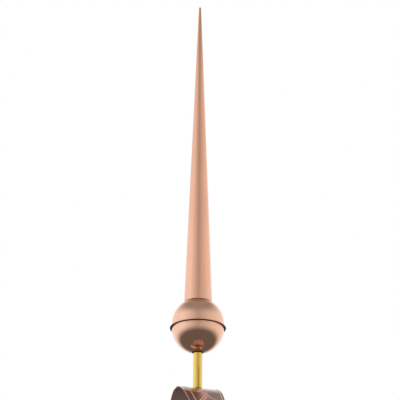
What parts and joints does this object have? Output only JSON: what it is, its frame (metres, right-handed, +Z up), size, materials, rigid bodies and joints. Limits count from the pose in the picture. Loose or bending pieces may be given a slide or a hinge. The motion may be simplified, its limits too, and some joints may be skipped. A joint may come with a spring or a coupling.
{
  "type": "roof finial",
  "caption": "Roof finial: tall tapering spire on a lipped ball, carried by a short tube on a bent sheet saddle that sits over a roof ridge.",
  "frame": {"origin": "on the underside of the saddle's crown, straight under the stem, where the saddle sits on the ridge", "axes": "+Z up along the spire, +X along the roof ridge, the saddle's leaves fall towards -Y and +Y"},
  "size_m": [0.109, 0.1904, 0.876],
  "materials": {
    "spire_copper": "polished sheet copper, faint lengthwise polishing marks, brown towards the tip",
    "ball_copper": "mirror-polished spun copper, brown tarnish along the seam lip",
    "stem_brass": "polished yellow brass tube",
    "saddle_copper": "hand-bent sheet copper, slightly dulled, hemmed ends"
  },
  "bodies": {
    "root": {"spire": "spire_copper", "ball_upper_half": "ball_copper", "ball_lower_half": "ball_copper", "stem_tube": "stem_brass", "ridge_saddle": "saddle_copper"}
  },
  "joints": []
}
